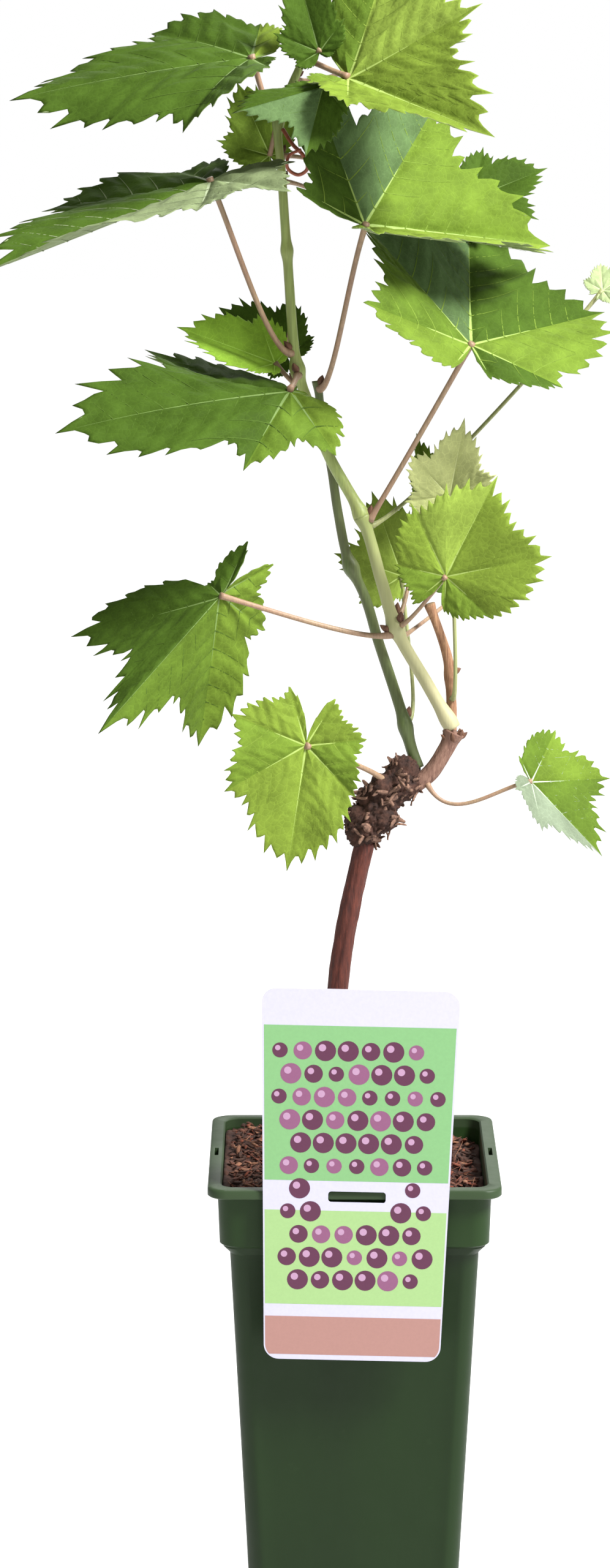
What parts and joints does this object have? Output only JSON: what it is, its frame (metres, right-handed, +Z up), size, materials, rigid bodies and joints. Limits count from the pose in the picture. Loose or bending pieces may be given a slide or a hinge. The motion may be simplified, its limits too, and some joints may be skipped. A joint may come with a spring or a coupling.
{
  "type": "potted grapevine",
  "caption": "Young grafted grapevine with broad toothed lobed leaves on green canes, growing from a knobbly graft in a tall square nursery pot with a hanging card label.",
  "frame": {"origin": "centre of the pot's flat underside, where it stands on the floor", "axes": "+Z up along the plant; +X to the right of the card label's printed face seen from the front, square to the pot's sides; +Y to the back, away from the card label"},
  "size_m": [0.2498, 0.1827, 0.7123],
  "materials": {
    "pot": "moulded, satin",
    "compost": "rough, fibrous",
    "label_card": "printed, smooth",
    "rootstock_bark": "bark",
    "callus": "rough, corky",
    "old_wood": "bark",
    "cut_wood": "dry, bare",
    "green_cane": "green bark",
    "dark_cane": "green bark",
    "tendril": "thin bark",
    "leaf": "waxy leaf"
  },
  "bodies": {
    "root": {"pot": "pot", "compost": "compost", "label_card": "label_card", "trunk": "rootstock_bark", "graft_callus": "callus", "old_spur": "old_wood", "pruned_stub": "cut_wood", "main_shoot_lower": "green_cane", "main_shoot_upper": "green_cane", "side_shoot": "dark_cane", "tendril": "tendril", "leaf_01": "leaf", "leaf_02": "leaf", "leaf_03": "leaf", "leaf_04": "leaf", "leaf_05": "leaf", "leaf_06": "leaf", "leaf_07": "leaf", "leaf_08": "leaf", "leaf_09": "leaf", "leaf_10": "leaf", "leaf_11": "leaf", "leaf_12": "leaf", "leaf_13": "leaf", "leaf_14": "leaf", "leaf_15": "leaf", "leaf_16": "leaf", "leaf_17": "leaf", "leaf_18": "leaf", "leaf_19": "leaf", "leaf_20": "leaf", "leaf_21": "leaf", "leaf_22": "leaf", "leaf_23": "leaf", "leaf_24": "leaf", "leaf_25": "leaf", "leaf_26": "leaf"}
  },
  "joints": []
}
